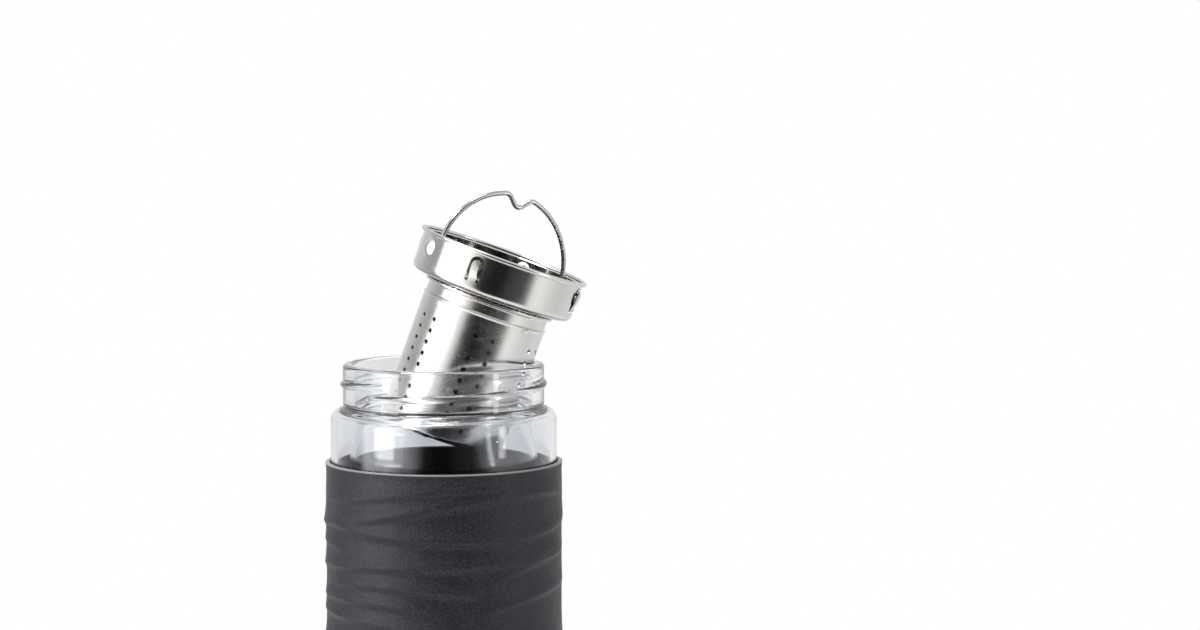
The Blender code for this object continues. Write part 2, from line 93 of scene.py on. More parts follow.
def rounded(corners, steps=6):
    """Points through (radius, height, round) corners, with an arc at each corner that has a round."""
    points = []
    for before, here, after in zip(corners[-1:] + corners[:-1], corners, corners[1:] + corners[:1]):
        corner = Vector(here[:2])
        if not here[2]:
            points.append(corner)
            continue
        back = (Vector(before[:2]) - corner).normalized()
        on = (Vector(after[:2]) - corner).normalized()
        half = back.angle(on) / 2
        centre = corner + (back + on).normalized() * here[2] / sin(half)
        first = corner + back * here[2] / tan(half) - centre
        last = corner + on * here[2] / tan(half) - centre
        points += [centre + first.slerp(last, i / steps) * here[2] for i in range(steps + 1)]
    return points


def lathe(points, sides, step, closed=False, fine_radius=0.0, fine_step=1.0):
    """Spin an outline round Z, its long edges first divided into steps. An open one ends on the axis.

    Edges at the fine radius are divided into fine steps. Only one sector is spun, and its turned copies make
    the rest, which is much faster for many sides."""
    bm = bmesh.new()
    verts = [bm.verts.new((r, 0, z)) for r, z in points]
    following = verts[1:] + verts[:1] if closed else verts[1:]
    edges = [bm.edges.new(pair) for pair in zip(verts, following)]
    for edge in edges:
        fine = all(abs(v.co.x - fine_radius) < WELD for v in edge.verts)
        cuts = int(edge.calc_length() / (fine_step if fine else step))
        if cuts:
            bmesh.ops.subdivide_edges(bm, edges=[edge], cuts=cuts)
    bmesh.ops.spin(bm, geom=bm.verts[:] + bm.edges[:], cent=(0, 0, 0), axis=(0, 0, 1),
                   angle=2 * pi / SECTORS, steps=sides // SECTORS)
    sector = bm.verts[:] + bm.edges[:] + bm.faces[:]
    for i in range(1, SECTORS):
        copy = bmesh.ops.duplicate(bm, geom=sector)["geom"]
        bmesh.ops.rotate(bm, verts=[v for v in copy if isinstance(v, bmesh.types.BMVert)],
                         cent=(0, 0, 0), matrix=Matrix.Rotation(2 * pi * i / SECTORS, 3, "Z"))
    bmesh.ops.remove_doubles(bm, verts=bm.verts, dist=WELD)
    bmesh.ops.recalc_face_normals(bm, faces=bm.faces)
    return bm


# %% [markdown]
# ## Helper that finishes a piece
# A finished piece keeps its place in its mesh, rides on its body and hides the solids that it stands for. Its
# faces are shaded smooth, but for the edges that are sharp on the real piece too.

# %% Finish a piece
SHARP = radians(38)


def finished(name, bm, material, body, slot, *nodes):
    """Turn a bmesh into a piece that rides on a body and stands for some solids."""
    mesh = bpy.data.meshes.new(name)
    bm.to_mesh(mesh)
    bm.free()
    mesh.materials.append(material)
    mesh.shade_smooth()
    mesh.set_sharp_from_angle(angle=SHARP)
    thing = bpy.data.objects.new(name, mesh)
    bpy.context.scene.collection.objects.link(thing)
    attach(thing, body)
    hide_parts(*nodes)
    mesh.calc_loop_triangles()
    print(f"{name}: {len(mesh.loop_triangles)} triangles")


# %% [markdown]
# ## Helpers for materials
# Each finish is a Principled shader. `node` adds a node and wires it in one line, so that each finish below
# reads as a short list of what the surface has: a grain, a wear pattern, a bump.

# %% Node helpers


def finish(name, colour, roughness, **inputs):
    """A new material with a Principled shader. Inputs are named with underscores for spaces."""
    material = bpy.data.materials.new(name)
    material.use_nodes = True
    shader = material.node_tree.nodes["Principled BSDF"]
    shader.inputs["Base Color"].default_value = (*colour, 1)
    shader.inputs["Roughness"].default_value = roughness
    for key, value in inputs.items():
        shader.inputs[key.replace("_", " ")].default_value = value
    return material, shader


def node(tree, kind, wires=(), **settings):
    """A new node with its settings, and wires from (output socket, input name)."""
    made = tree.nodes.new(kind)
    for key, value in settings.items():
        if key in made.inputs:
            made.inputs[key].default_value = value
        elif key.replace("_", " ") in made.inputs:
            made.inputs[key.replace("_", " ")].default_value = value
        else:
            setattr(made, key, value)
    for output, name in wires:
        tree.links.new(output, made.inputs[name])
    return made


def pattern_place(tree, cell, middle=(0, 0, 0), tilt=0.0):
    """Object coordinates, centred and turned onto a piece, and divided by the pattern's cell size."""
    coordinates = node(tree, "ShaderNodeTexCoord")
    return node(tree, "ShaderNodeMapping", [(coordinates.outputs["Object"], "Vector")],
                vector_type="TEXTURE", Location=middle, Rotation=(0, tilt, 0), Scale=cell)


def spread(tree, value, low, high, start=0.0, end=1.0):
    """Map a pattern's value onto a range of some property."""
    return node(tree, "ShaderNodeMapRange", [(value, "Value")], From_Min=start, From_Max=end,
                To_Min=low, To_Max=high).outputs["Result"]


# %% [markdown]
# ## Silicone sleeve: the finish
# Moulded silicone is dark, satin and slightly dusty. Its mould was blasted, so it has a very fine grain that
# catches the light as tiny specks. Two noises give it: a fine one sets the bump, a larger one the roughness,
# and both the colour. A picture of rubber would do as well, but a noise needs no file and never repeats.

# %% Silicone finish
GRAIN_CELL = 0.6 * MM
GRAIN_DEPTH = 0.1 * MM
DUST_CELL = 6 * MM
DUST_SHARE = 0.1
RUBBER_DARK = (0.0085, 0.009, 0.013, 1)
RUBBER_PALE = (0.024, 0.025, 0.0325, 1)
DARK_UP_TO, PALE_FROM = 0.4, 0.64  # of the speckle's range

silicone, shader = finish("charcoal silicone", (0.016, 0.0165, 0.019), 0.5, Specular_IOR_Level=0.3)
tree = silicone.node_tree
grain = node(tree, "ShaderNodeTexNoise", [(pattern_place(tree, (GRAIN_CELL,) * 3).outputs[0], "Vector")],
             Scale=1.0, Detail=2.0)
dust = node(tree, "ShaderNodeTexNoise", [(pattern_place(tree, (DUST_CELL,) * 3).outputs[0], "Vector")],
            Scale=1.0, Detail=6.0, Roughness=0.65)
speck = node(tree, "ShaderNodeMix", [(grain.outputs["Fac"], 2), (dust.outputs["Fac"], 3)],
             data_type="FLOAT", Factor=DUST_SHARE)
tint = node(tree, "ShaderNodeValToRGB", [(speck.outputs[0], "Fac")])
tint.color_ramp.elements[0].position = DARK_UP_TO
tint.color_ramp.elements[1].position = PALE_FROM
tint.color_ramp.elements[0].color = RUBBER_DARK
tint.color_ramp.elements[1].color = RUBBER_PALE
bump = node(tree, "ShaderNodeBump", [(grain.outputs["Fac"], "Height")], Strength=1.0, Distance=GRAIN_DEPTH)

# %% [markdown]
# The trimmed upper edge is smoother than the rest, and a painted highlight makes its colour paler, so it shows
# as a thin light line. The height on the piece tells where it starts, and mixes the painted highlight and the
# roughness in.

# %% Painted highlight on the upper edge of the silicone
EDGE_START, EDGE_FULL = SLEEVE_TOP - 0.6 * MM, SLEEVE_TOP - 0.35 * MM
# painted highlight: a paler colour on the upper edge stands in for the light on its round
EDGE_PAINTED_HIGHLIGHT = (0.2, 0.205, 0.215, 1)
EDGE_ROUGHNESS = 0.22

height = node(tree, "ShaderNodeSeparateXYZ", [(pattern_place(tree, (1, 1, 1)).outputs[0], "Vector")])
edge = spread(tree, height.outputs["Z"], 0.0, 1.0, EDGE_START, EDGE_FULL)
rough = node(tree, "ShaderNodeMix", [(edge, "Factor"), (spread(tree, dust.outputs["Fac"], 0.42, 0.6), 2)],
             data_type="FLOAT")
rough.inputs[3].default_value = EDGE_ROUGHNESS
# this mix paints the highlight into the upper edge's colour
colour = node(tree, "ShaderNodeMix", [(edge, "Factor"), (tint.outputs["Color"], 6)], data_type="RGBA")
colour.inputs[7].default_value = EDGE_PAINTED_HIGHLIGHT
tree.links.new(colour.outputs[2], shader.inputs["Base Color"])
tree.links.new(rough.outputs[0], shader.inputs["Roughness"])
tree.links.new(bump.outputs["Normal"], shader.inputs["Normal"])
print(silicone.name, "has", len(tree.nodes), "nodes")

# %% [markdown]
# ## Silicone sleeve: the waves
# The outside of the sleeve is moulded like rippled sand. Each ripple rises slowly towards a crease and then
# drops sharply below it. A ripple is drawn as a short curve round the sleeve, through a few places that are
# each given as a turn from the front in degrees and a height in mm. The ones that can be seen on the front
# are drawn one by one, each with its strength.

# %% Draw the front ripples
FRONT_CREASES = [
    (0.6, [(-88, 139.6), (-23, 141.8), (2, 143.5), (48, 143.6)]),
    (0.95, [(-105, 131.6), (-58, 133.4), (-26, 134.8), (2, 139.3), (30, 141.0), (96, 138.0)]),
    (1.0, [(-70, 132.2), (-27, 131.4), (2, 128.2), (26, 127.8), (47, 131.0), (98, 134.6)]),
    (0.85, [(-100, 117.6), (-35, 121.0), (0, 121.7), (30, 122.0), (92, 124.6)]),
    (0.85, [(-74, 114.2), (-35, 115.8), (-12, 115.4), (26, 112.6)]),
    (1.0, [(-90, 110.4), (-26, 110.6), (6, 109.4)]),
    (0.9, [(-96, 105.8), (-41, 105.0), (-20, 104.1), (18, 103.0)]),
    (0.7, [(22, 116.2), (47, 120.6), (96, 123.0)]),
    (0.8, [(18, 107.6), (47, 111.2), (100, 113.4)]),
    (0.7, [(-98, 126.2), (-66, 126.0), (-40, 124.4)]),
]
FRONT_FOOT = 103.0             # the drawn creases end here, in mm above the table
FRONT_TURNS = (-88, 92)
print(len(FRONT_CREASES), "ripples are drawn on the front")

# %% [markdown]
# Seeded ripples of the same kind fill the back and the lower part, row by row. The seed is fixed, so that the
# sleeve comes out the same each time.

# %% Seed the other ripples
ROW_PITCH = 6.8                # in mm, as all heights in this cell
FIRST_ROW = 5.0
ROW_MARGIN = 3.0               # rows stay this far below the upper edge, and off the drawn ones
LEVEL_PLAY = 1.6               # how far a whole ripple strays from its row
PLACE_PLAY = 2.2               # how far each of its places strays
ROW_PLAY = 0.2                 # how much the pitch of the rows differs, as a share
CREASE_PLACES = 4
SHORTEST, LONGEST = 55, 110    # in degrees
CLOSEST = 0.75                 # the next ripple starts at least this share of the length further on
WEAKEST = 0.5
rng = random.Random(12)


def seeded_creases():
    """Creases of the same kind for the lower part and the back of the sleeve."""
    creases = []
    height = FIRST_ROW
    while height < SLEEVE_TOP / MM - ROW_MARGIN:
        turn = rng.uniform(0, 90)
        end = turn + 360
        while turn < end:
            length = rng.uniform(SHORTEST, LONGEST)
            level = height + rng.uniform(-LEVEL_PLAY, LEVEL_PLAY)
            places = [(turn + length * i / (CREASE_PLACES - 1), level + rng.uniform(-PLACE_PLAY, PLACE_PLAY))
                      for i in range(CREASE_PLACES)]
            middle = (turn + length / 2 + 180) % 360 - 180
            reach = length / 3
            in_front = FRONT_TURNS[0] - reach < middle < FRONT_TURNS[1] + reach
            if not (in_front and height > FRONT_FOOT - ROW_MARGIN):
                creases.append((rng.uniform(WEAKEST, 1.0), places))
            turn += length * rng.uniform(CLOSEST, 1.0)
        height += ROW_PITCH * rng.uniform(1 - ROW_PLAY, 1 + ROW_PLAY)
    return creases


creases = FRONT_CREASES + seeded_creases()
print(len(creases), "ripples on the sleeve")

# %% [markdown]
# Each ripple is a smooth curve near its places, and fades in and out at its ends. Across it, two exponentials
# make the crest: a slow one for the rise above it and a fast one for the fall below it, which meet in a round
# top. Ripples that overlap add up to a limit.

# %% Relief of the ripples
CREASE_RUN = 3.6 * MM          # the slow rise above a crease
CREASE_DROP = 0.45 * MM        # the sharp fall below it
CREASE_DEPTH = 1.25 * MM
CREASE_FADE = 24.0             # degrees over which a crease fades in and out
CREST_SCALE = 1.6              # brings the rounded crest back up to 1
CREST_LIMIT = 1.25             # ripples that overlap rise no further than this
FAR_OFF = 9                    # nothing is left of a crest this many runs or drops away


def relief(turns, heights, creases):
    """Height of the ripples at many places, in metres outwards, from turns in degrees and heights."""
    rise = np.zeros(len(turns))
    for strength, places in creases:
        at, level = np.array(places).T
        degree = 3 if len(at) > 3 else 2
        line = np.polynomial.Polynomial.fit(at, level * MM, degree)
        half = (at[-1] - at[0]) / 2
        turn = (turns - at[0] + 180 - half) % 360 - 180 + at[0] + half
        near = np.clip(np.minimum(turn - at[0], at[-1] - turn) / CREASE_FADE, 0, 1)
        above = heights - line(np.clip(turn, at[0], at[-1]))
        above = np.clip(above, -FAR_OFF * CREASE_DROP, FAR_OFF * CREASE_RUN)
        shape = CREST_SCALE / (np.exp(above / CREASE_RUN) + np.exp(-above / CREASE_DROP))
        rise += strength * near * near * (3 - 2 * near) * shape
    return CREASE_DEPTH * np.minimum(rise, CREST_LIMIT)


# %% [markdown]
# ## Silicone sleeve: the piece
# The sleeve is a boot: a thin wall with a floor. It is turned with many short steps, and then the vertices of
# its outer wall are moved in and out by the ripples. A displacement texture would need an image or a bake,
# while moved vertices are real shape, and show in the outline too. The ripples are flatter at the left and
# the right, because the outline seen from the front is nearly straight.

# %% Make the sleeve
SLEEVE_WALL = 1.4 * MM
SLEEVE_FLOOR = 2.0 * MM
SLEEVE_FOOT_ROUND = 1.8 * MM
SLEEVE_EDGE_ROUND = 0.3 * MM
RIPPLE_BASE = 0.65 * MM        # wall between the ripples, inside the sleeve's full radius
EDGE_BAND = 2.4 * MM           # plain band below the upper edge
EDGE_SLOPE = 0.2 * MM          # upper edge falls outwards by this
SIDE_TURN, SIDE_WIDTH = 90.0, 16.0  # in degrees, where the ripples are flatter
SIDE_CALM = 0.6                # by this share
HEEL_ROUND = 5.0 * MM
SLEEVE_SIDES, SLEEVE_STEP, RIPPLE_STEP = 264, 8 * MM, 0.58 * MM


def make_sleeve():
    """Turn the boot, ripple its outer wall and slope its upper edge."""
    bore = SLEEVE_RADIUS - SLEEVE_WALL
    bm = lathe(rounded([(0, 0, 0), (SLEEVE_RADIUS, 0, SLEEVE_FOOT_ROUND),
                        (SLEEVE_RADIUS, SLEEVE_TOP, SLEEVE_EDGE_ROUND), (bore, SLEEVE_TOP, SLEEVE_EDGE_ROUND),
                        (bore, SLEEVE_FLOOR, HEEL_ROUND + FIT_GAP), (0, SLEEVE_FLOOR, 0)]),
               SLEEVE_SIDES, SLEEVE_STEP, fine_radius=SLEEVE_RADIUS, fine_step=RIPPLE_STEP)
    wall = [v for v in bm.verts if v.co.xy.length > SLEEVE_RADIUS - SLEEVE_EDGE_ROUND - WELD
            and v.co.z > SLEEVE_FOOT_ROUND]
    turns = np.array([np.degrees(atan2(v.co.x, -v.co.y)) for v in wall])
    heights = np.array([v.co.z for v in wall])
    from_edges = np.minimum(SLEEVE_TOP - heights, heights - SLEEVE_FOOT_ROUND)
    calm = 1 - SIDE_CALM * np.exp(-((np.abs(turns) - SIDE_TURN) / SIDE_WIDTH) ** 2)
    rise = (relief(turns, heights, creases) - RIPPLE_BASE) * calm * np.clip(from_edges / EDGE_BAND, 0, 1)
    for vert, out in zip(wall, rise):
        vert.co.xy *= 1 + out / SLEEVE_RADIUS
    for vert in bm.verts:
        if vert.co.z > SLEEVE_TOP - SLEEVE_EDGE_ROUND:
            vert.co.z -= EDGE_SLOPE * (vert.co.xy.length - bore) / SLEEVE_WALL
    print(f"ripples run from {rise.min() / MM:.2f} to {rise.max() / MM:.2f} mm")
    finished("waved_sleeve", bm, silicone, "sleeve", "silicone", "silicone_sleeve")


make_sleeve()

# %% [markdown]
# ## Glass: the finish
# Borosilicate glass is clear, with a faint cool tint where it is seen edge-on. Blown walls are never quite
# even, so a weak, slow bump bends the reflections a little. The shader is fully transmissive: plain
# see-through alpha would be quicker, but it doesn't bend the light.

# %% Glass finish
SWAY_CELL = (9 * MM, 9 * MM, 16 * MM)
SWAY_DEPTH = 0.2 * MM

glass, shader = finish("clear glass", (0.93, 0.944, 0.965), 0.0, IOR=1.474, Transmission_Weight=1.0)
tree = glass.node_tree
sway = node(tree, "ShaderNodeTexNoise", [(pattern_place(tree, SWAY_CELL).outputs[0], "Vector")],
            Scale=1.0, Detail=1.0)
bump = node(tree, "ShaderNodeBump", [(sway.outputs["Fac"], "Height")], Strength=0.02, Distance=SWAY_DEPTH)
tree.links.new(bump.outputs["Normal"], shader.inputs["Normal"])
print(glass.name, "bends light by an index of", shader.inputs["IOR"].default_value)

# %% [markdown]
# ## Glass: the vessel
# The solids keep the outer glass and the liner apart, but the real ones are melted together at the neck. Here
# they are one blown vessel, whose outline runs up inside the liner, over the lip, down the outside, through
# the hole in the base and up again through the air gap. One closed wall is what light has to pass through.

# %% Outline of the vessel
SHOULDER_WALL = 1.8 * MM
LINER_WALL = 1.4 * MM
AIR_GAP = 3.75 * MM
NECK_WALL = 3.2 * MM
SHOULDER_WIDTH = 3.65 * MM
SHOULDER_ROUND = 3.4 * MM
LIP_ROUND = 1.15 * MM
BASE_WALL = 2.5 * MM
PLUG_HOLE = 3.0 * MM
LEDGE_WIDTH = 2.35 * MM        # carries the infuser's collar when it is seated
LEDGE_SLOPE = 0.9 * MM
WAIST_HEIGHT = 3.6 * MM
FLARE_HEIGHT = 8.5 * MM
LINER_ROUND = 9.0 * MM
SOFT = 1.2 * MM                # flame-polished corner

neck_radius = BODY_RADIUS - SHOULDER_WIDTH
neck_bore = neck_radius - NECK_WALL
jacket_bore = BODY_RADIUS - SHOULDER_WALL
liner_radius = jacket_bore - AIR_GAP
liner_bore = liner_radius - LINER_WALL
ledge_bore = neck_bore - LEDGE_WIDTH
waist_radius = ledge_bore + LINER_WALL
neck_foot = LINER_TOP + FIT_GAP
shoulder_top = neck_foot + SHOULDER_WALL
waist_foot = LINER_TOP - WAIST_HEIGHT
flare_foot = waist_foot - FLARE_HEIGHT
base_top = GLASS_BASE + BASE_WALL

vessel = rounded([
    (0, LINER_BASE + LINER_WALL, 0), (liner_bore, LINER_BASE + LINER_WALL, LINER_ROUND - LINER_WALL),
    (liner_bore, flare_foot, 3 * SOFT), (ledge_bore, waist_foot, 2 * SOFT),
    (ledge_bore, shoulder_top, SOFT), (neck_bore, shoulder_top + LEDGE_SLOPE, SOFT),
    (neck_bore, RIM_HEIGHT, LIP_ROUND), (neck_radius, RIM_HEIGHT, LIP_ROUND),
    (neck_radius, shoulder_top, 0.8 * SOFT), (BODY_RADIUS, shoulder_top, SHOULDER_ROUND),
    (BODY_RADIUS, GLASS_BASE, HEEL_ROUND), (PLUG_HOLE, GLASS_BASE, FIT_GAP),
    (PLUG_HOLE, base_top, FIT_GAP), (jacket_bore, base_top, HEEL_ROUND - SHOULDER_WALL),
    (jacket_bore, neck_foot, SHOULDER_ROUND - SHOULDER_WALL), (waist_radius, neck_foot, SOFT),
    (waist_radius, waist_foot, 2 * SOFT), (liner_radius, flare_foot, 3 * SOFT),
    (liner_radius, LINER_BASE, LINER_ROUND), (0, LINER_BASE, 0)], steps=8)
print(f"vessel outline has {len(vessel)} points, neck bore {2 * neck_bore / MM:.1f} mm")

# %% [markdown]
# The two ridges of the thread are pressed into the soft neck, so they flow into it without an edge. They are
# made by moving the neck's vertices outwards along two helices, with a rounded hump across each.

# %% Make the vessel and press the thread
THREAD_STARTS = 2
THREAD_TURN = radians(192)
THREAD_LEAD = 7.0 * MM
THREAD_RISE = 0.8 * MM
THREAD_HALF = 1.0 * MM
THREAD_TOP = 5.0 * MM          # upper end of a ridge, below the lip
THREAD_END = radians(-122)     # where the first ridge ends, from +X
THREAD_FADE = radians(16)
THREAD_FULLNESS = 0.75         # 1 is a parabola across the ridge, less is fuller
BEFORE_FOOT = 0.5              # this much of a turn, in radians, counts as before a ridge's foot
GLASS_SIDES, GLASS_STEP, NECK_STEP = 216, 12 * MM, 0.16 * MM
NEAR = 5 * WELD


def thread_rise(vert):
    """How far the thread lifts a point of the neck."""
    total = 0.0
    climb = THREAD_LEAD * THREAD_TURN / (2 * pi)
    for start in range(THREAD_STARTS):
        foot_turn = THREAD_END - THREAD_TURN + 2 * pi * start / THREAD_STARTS
        turn = (atan2(vert.co.y, vert.co.x) - foot_turn + BEFORE_FOOT) % (2 * pi) - BEFORE_FOOT
        along = turn / THREAD_TURN
        fade = max(0.0, min(1.0, turn / THREAD_FADE, (THREAD_TURN - turn) / THREAD_FADE))
        off = (vert.co.z - (RIM_HEIGHT - THREAD_TOP - climb * (1 - along))) / THREAD_HALF
        if abs(off) < 1:
            total += THREAD_RISE * sin(fade * pi / 2) * (1 - off * off) ** THREAD_FULLNESS
    return total


def make_vessel():
    """Spin the vessel and press the thread into its neck."""
    bm = lathe(vessel, GLASS_SIDES, GLASS_STEP, fine_radius=neck_radius, fine_step=NECK_STEP)
    neck = [v for v in bm.verts if abs(v.co.xy.length - neck_radius) < NEAR]
    for vert in neck:
        vert.co.xy *= 1 + thread_rise(vert) / neck_radius
    print(len(neck), "points on the neck")
    finished("glass_vessel", bm, glass, "glass", "clear_glass", "outer_glass", "inner_glass")


make_vessel()

# %% [markdown]
# ## Plug of the air gap
# The base of the outer glass has a small hole, left from evacuating or drying the gap, and a pale silicone
# plug closes it. Its solid has the right shape, so it stays, and only gets a finish: milky, slightly
# see-through rubber with a fine mould grain. Light that scatters below the surface makes it look milky.

# %% Plug finish
PLUG_GRAIN = 0.5 * MM
PLUG_GRAIN_DEPTH = 0.05 * MM

plug_rubber, shader = finish("milky silicone", (0.78, 0.8, 0.8), 0.45, Subsurface_Weight=0.3,
                             Subsurface_Scale=1.0 * MM)
tree = plug_rubber.node_tree
grain = node(tree, "ShaderNodeTexNoise", [(pattern_place(tree, (PLUG_GRAIN,) * 3).outputs[0], "Vector")],
             Scale=1.0, Detail=4.0)
bump = node(tree, "ShaderNodeBump", [(grain.outputs["Fac"], "Height")], Strength=0.3,
            Distance=PLUG_GRAIN_DEPTH)
tree.links.new(bump.outputs["Normal"], shader.inputs["Normal"])
tree.links.new(spread(tree, grain.outputs["Fac"], 0.38, 0.55), shader.inputs["Roughness"])
for material_slot in frame["nodes"]["gap_seal"].material_slots:
    material_slot.material = plug_rubber
print("the plug keeps its solid and gets", plug_rubber.name)

# %% [markdown]
# ## Steel: the finish
# The infuser's sheet is satin stainless steel. It was polished while it turned, so its grain runs round the
# axis as thin rings, which blur a reflection along the axis and leave it fairly sharp across. The rings are a
# noise in the infuser's own frame, stretched round the axis and squeezed along it. An anisotropic shader
# blurs in one direction too, but fine bumps are also seen close up.

# %% Steel finish
CLOUD_CELL = (5 * MM, 5 * MM, 3 * MM)
RING_DEPTH = 0.04 * MM
BRIGHT_SHARE, DULL_SHARE = 0.7, 1.5  # lowest and highest roughness, as shares of the finish's own
SHADE_RANGE = (0.1, 0.45)      # what two noises give when they are multiplied


def steel(name, roughness, ring_cell, ring_bump, colour):
    """Satin steel with rings round the infuser's axis."""
    material, shader = finish(name, colour, roughness, Metallic=1.0)
    tree = material.node_tree
    rings = node(tree, "ShaderNodeTexNoise",
                 [(pattern_place(tree, ring_cell, rim_middle, INFUSER_TILT).outputs[0], "Vector")],
                 Scale=1.0, Detail=2.0, Roughness=0.6)
    clouds = node(tree, "ShaderNodeTexNoise",
                  [(pattern_place(tree, CLOUD_CELL, rim_middle, INFUSER_TILT).outputs[0], "Vector")],
                  Scale=1.0, Detail=3.0)
    shade = node(tree, "ShaderNodeMath", [(rings.outputs["Fac"], 0), (clouds.outputs["Fac"], 1)],
                 operation="MULTIPLY")
    bump = node(tree, "ShaderNodeBump", [(rings.outputs["Fac"], "Height")], Strength=ring_bump,
                Distance=RING_DEPTH)
    blur = spread(tree, shade.outputs[0], roughness * BRIGHT_SHARE, roughness * DULL_SHARE, *SHADE_RANGE)
    tree.links.new(blur, shader.inputs["Roughness"])
    tree.links.new(bump.outputs["Normal"], shader.inputs["Normal"])
    return material, shader


# %% [markdown]
# The inside of the collar's band, the inside of the tube and the groove of the crimped seam get painted shade:
# these zones are tinted darker, each by its depth below the rim and its radius in the infuser's own frame.

# %% Painted shade in the hollows


def paint_shade(material, shader, middle, half, radius, colour):
    """Paint shade, as a darker colour, onto what lies inside a radius, round a middle depth below the
    infuser's rim.
    """
    tree = material.node_tree
    place = pattern_place(tree, (1, 1, 1), rim_middle, INFUSER_TILT).outputs[0]
    depth = node(tree, "ShaderNodeSeparateXYZ", [(place, "Vector")])
    level = node(tree, "ShaderNodeMath", [(depth.outputs["Z"], 0)], operation="COMPARE")
    level.inputs[1].default_value = -middle
    level.inputs[2].default_value = half
    flat = node(tree, "ShaderNodeVectorMath", [(place, 0)], operation="MULTIPLY")
    flat.inputs[1].default_value = (1, 1, 0)
    away = node(tree, "ShaderNodeVectorMath", [(flat.outputs[0], 0)], operation="LENGTH")
    within = node(tree, "ShaderNodeMath", [(away.outputs["Value"], 0)], operation="LESS_THAN")
    within.inputs[1].default_value = radius
    both = node(tree, "ShaderNodeMath", [(level.outputs[0], 0), (within.outputs[0], 1)], operation="MULTIPLY")
    tint = node(tree, "ShaderNodeMix", [(both.outputs[0], "Factor")], data_type="RGBA")
    tint.inputs[7].default_value = (*colour, 1)
    base = shader.inputs["Base Color"]
    if base.links:
        tree.links.new(base.links[0].from_socket, tint.inputs[6])
    else:
        tint.inputs[6].default_value = base.default_value
    tree.links.new(tint.outputs[2], base)


# %% [markdown]
# Three steels are made with it: satin sheet for the collar, a duller one for the tube and its floor, and a
# darker drawn wire for the bail.

# %% Three steels
SHEET_RINGS = (1.4 * MM, 1.4 * MM, 0.3 * MM)
WIRE_RINGS = (9 * MM, 9 * MM, 9 * MM)
SHEET_COLOUR, TUBE_COLOUR, WIRE_COLOUR = (0.61, 0.605, 0.59), (0.62, 0.61, 0.595), (0.37, 0.36, 0.35)
# painted shade: darker colours for the inside of the collar's band, the inside of the tube and the seam's
# groove
BAND_PAINTED_SHADE, INSIDE_PAINTED_SHADE, GROOVE_PAINTED_SHADE = (0.34, 0.32, 0.3), (0.3, 0.285, 0.27), (0.11, 0.1, 0.09)
BAND_DROP, BAND_HALF, BAND_RADIUS = 6.8 * MM, 5.5 * MM, 24.45 * MM
GROOVE_DROP, GROOVE_HALF, GROOVE_RADIUS = 13.1 * MM, 0.35 * MM, 19.15 * MM
INSIDE_DROP, INSIDE_HALF, INSIDE_RADIUS = 36 * MM, 22 * MM, 18.35 * MM

sheet_steel, shader = steel("satin sheet steel", 0.12, SHEET_RINGS, 0.25, SHEET_COLOUR)
# painted shade inside the collar's band; below, painted shade inside the tube and in the seam's groove
paint_shade(sheet_steel, shader, BAND_DROP, BAND_HALF, BAND_RADIUS, BAND_PAINTED_SHADE)
tube_steel, shader = steel("brushed tube steel", 0.19, SHEET_RINGS, 0.22, TUBE_COLOUR)
paint_shade(tube_steel, shader, INSIDE_DROP, INSIDE_HALF, INSIDE_RADIUS, INSIDE_PAINTED_SHADE)
paint_shade(tube_steel, shader, GROOVE_DROP, GROOVE_HALF, GROOVE_RADIUS, GROOVE_PAINTED_SHADE)
wire_steel = steel("drawn wire steel", 0.15, WIRE_RINGS, 0.0, WIRE_COLOUR)[0]
print("steels:", [metal.name for metal in (sheet_steel, tube_steel, wire_steel)])

# %% [markdown]
# ## Infuser collar
# The collar is a pressed steel cup with a rolled rim and no middle. It is turned in one go, as one closed
# outline, so that the thin sheet and the round bead of its rim are one shape. A single surface with a
# Solidify modifier would do for the sheet, but not for the bead.

# %% Turn the collar
STEEL = 0.5 * MM
COLLAR_HEIGHT = 12.6 * MM
COLLAR_RADIUS = 24.7 * MM
COLLAR_ROUND = 2.0 * MM
ROLL_RADIUS = 0.65 * MM
RIM_RADIUS = 25.75 * MM
ROLL_START, ROLL_END = 1.15 * pi, -0.72 * pi  # the rim's bead, from inside over the top to outside
UPPER_RADIUS = 18.45 * MM      # basket above its step
COLLAR_SIDES, COLLAR_STEP = 336, 0.42 * MM
collar_bore = COLLAR_RADIUS - STEEL


def arc(centre_x, centre_y, radius, first, last, steps):
    """Points of an arc in the plane, from one angle to another."""
    angles = [first + (last - first) * i / steps for i in range(steps + 1)]
    return [(centre_x + radius * cos(a), centre_y + radius * sin(a)) for a in angles]


def turned_collar():
    """Spin the collar's sheet, from the rolled rim down its band and in over its floor."""
    roll = RIM_RADIUS - ROLL_RADIUS
    hole = UPPER_RADIUS + FIT_GAP
    points = [Vector(p) for p in arc(roll, -ROLL_RADIUS, ROLL_RADIUS, ROLL_START, ROLL_END, 14)]
    points += rounded([(COLLAR_RADIUS, -3 * ROLL_RADIUS, 0), (COLLAR_RADIUS, -COLLAR_HEIGHT, COLLAR_ROUND),
                       (hole, -COLLAR_HEIGHT, STEEL / 4), (hole, STEEL - COLLAR_HEIGHT, STEEL / 4),
                       (collar_bore, STEEL - COLLAR_HEIGHT, COLLAR_ROUND - STEEL),
                       (collar_bore, -2 * ROLL_RADIUS, 0)])
    return lathe(points, COLLAR_SIDES, COLLAR_STEP, closed=True)


# %% [markdown]
# Four n-shaped slots are cut out of the band, which leaves four tongues. All slots are cut with one exact
# Boolean, because its tools can then be one mesh. Each tool is placed by its turn from the front.

# %% Helpers for slots and holes


